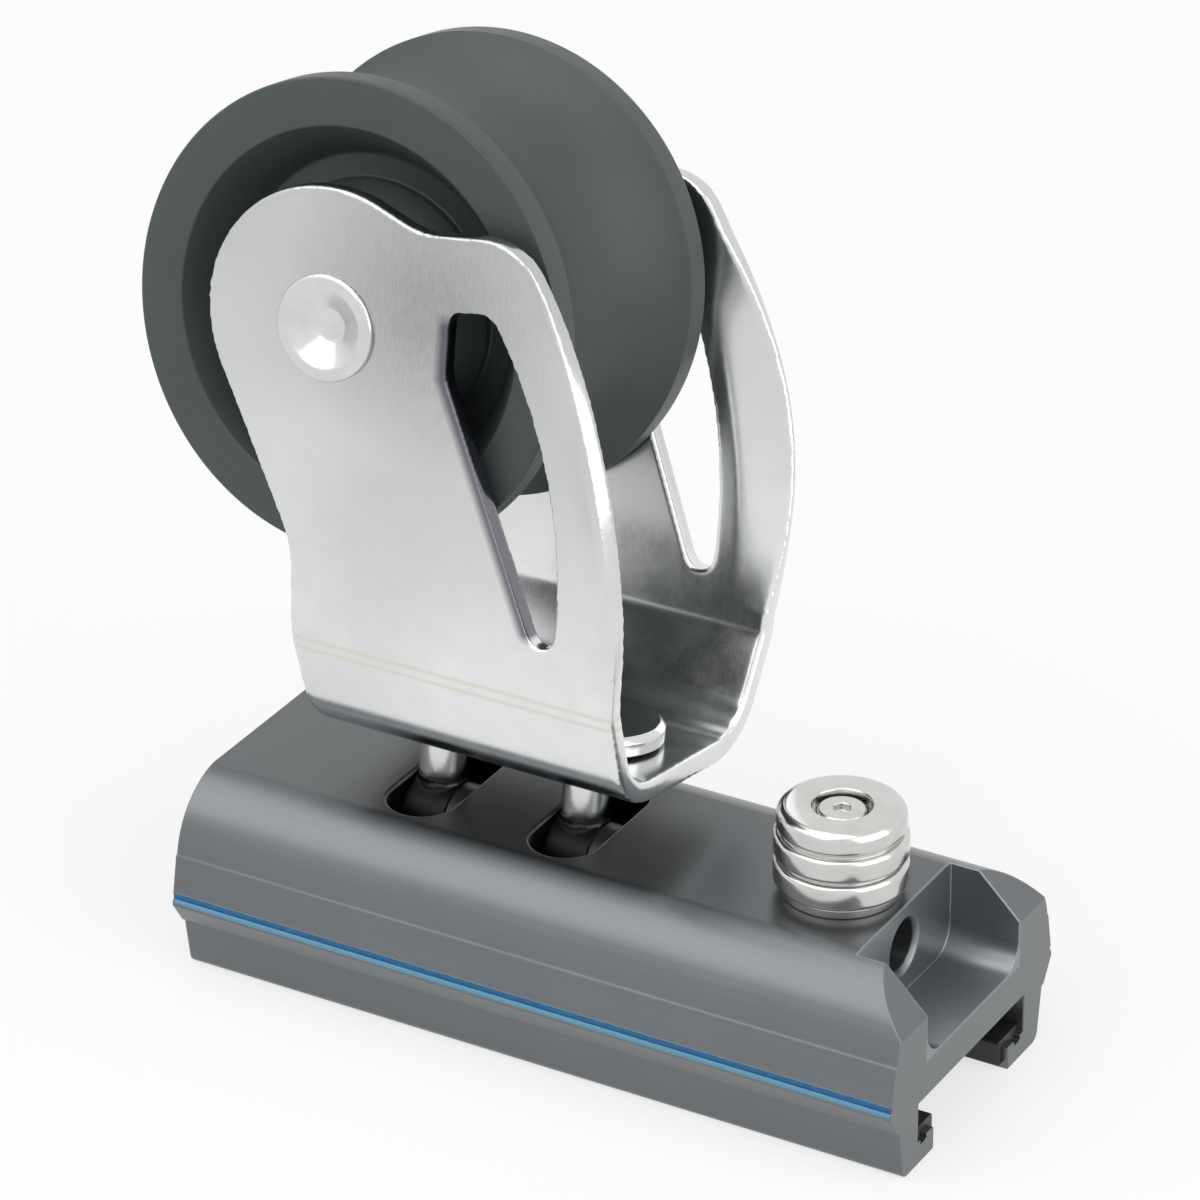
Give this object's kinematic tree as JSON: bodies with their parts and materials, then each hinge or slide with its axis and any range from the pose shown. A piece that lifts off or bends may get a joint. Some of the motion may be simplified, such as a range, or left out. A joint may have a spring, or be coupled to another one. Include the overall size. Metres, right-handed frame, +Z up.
{
  "type": "genoa lead car",
  "caption": "Sliding lead car for a T-track: a long C-shaped body with a pull-up stop plunger carries a swinging U-shaped bracket with a wide grooved sheave.",
  "frame": {"origin": "middle of the car's underside, on the track's centre line", "axes": "+X along the car towards the stop plunger, +Y across it towards the side that the bracket leans to, +Z up"},
  "size_m": [0.1377, 0.0733, 0.1445],
  "materials": {
    "car_alloy": "hard anodised, satin grey",
    "side_line": "satin blue line laid in the side groove",
    "bracket_steel": "polished stainless",
    "fitting_steel": "turned and polished stainless",
    "knob_steel": "turned and polished stainless",
    "spring_steel": "drawn wire",
    "sheave_plastic": "turned, fine grain",
    "bearing_plastic": "natural",
    "liner_plastic": "extruded, satin"
  },
  "bodies": {
    "car": {"car_body": "car_alloy", "liner_near": "liner_plastic", "liner_far": "liner_plastic", "hinge_pin": "fitting_steel", "eye_spacers": "liner_plastic", "plunger_bush": "fitting_steel", "plunger_spring": "spring_steel"},
    "bracket_group": {"bracket": "bracket_steel", "leg_front": "fitting_steel", "leg_rear": "fitting_steel", "leg_screw_front": "fitting_steel", "leg_screw_rear": "fitting_steel", "axle": "fitting_steel", "sheave_washer_near": "bearing_plastic", "sheave_washer_far": "bearing_plastic"},
    "sheave_group": {"sheave": "sheave_plastic", "sheave_bush": "bearing_plastic"},
    "plunger_group": {"plunger_pin": "fitting_steel", "plunger_knob": "knob_steel", "knob_screw": "fitting_steel"}
  },
  "joints": [
    {"name": "bracket_swing", "type": "hinge", "parent": "car", "child": "bracket_group", "pos_m": [0, 0, 0.0248], "axis": [1, 0, 0], "range_deg": [-17.6, 38.4]},
    {"name": "sheave_spin", "type": "hinge", "parent": "bracket_group", "child": "sheave_group", "pos_m": [-0.0397, 0.01475, 0.10516], "axis": [0, 0.9836, -0.1805], "continuous": true},
    {"name": "plunger_lift", "type": "slide", "parent": "car", "child": "plunger_group", "axis": [0, 0, 1], "range_m": [0, 0.006], "stiffness_N_per_m": 1500, "springref_m": -0.006, "deforming": ["plunger_spring"]}
  ]
}
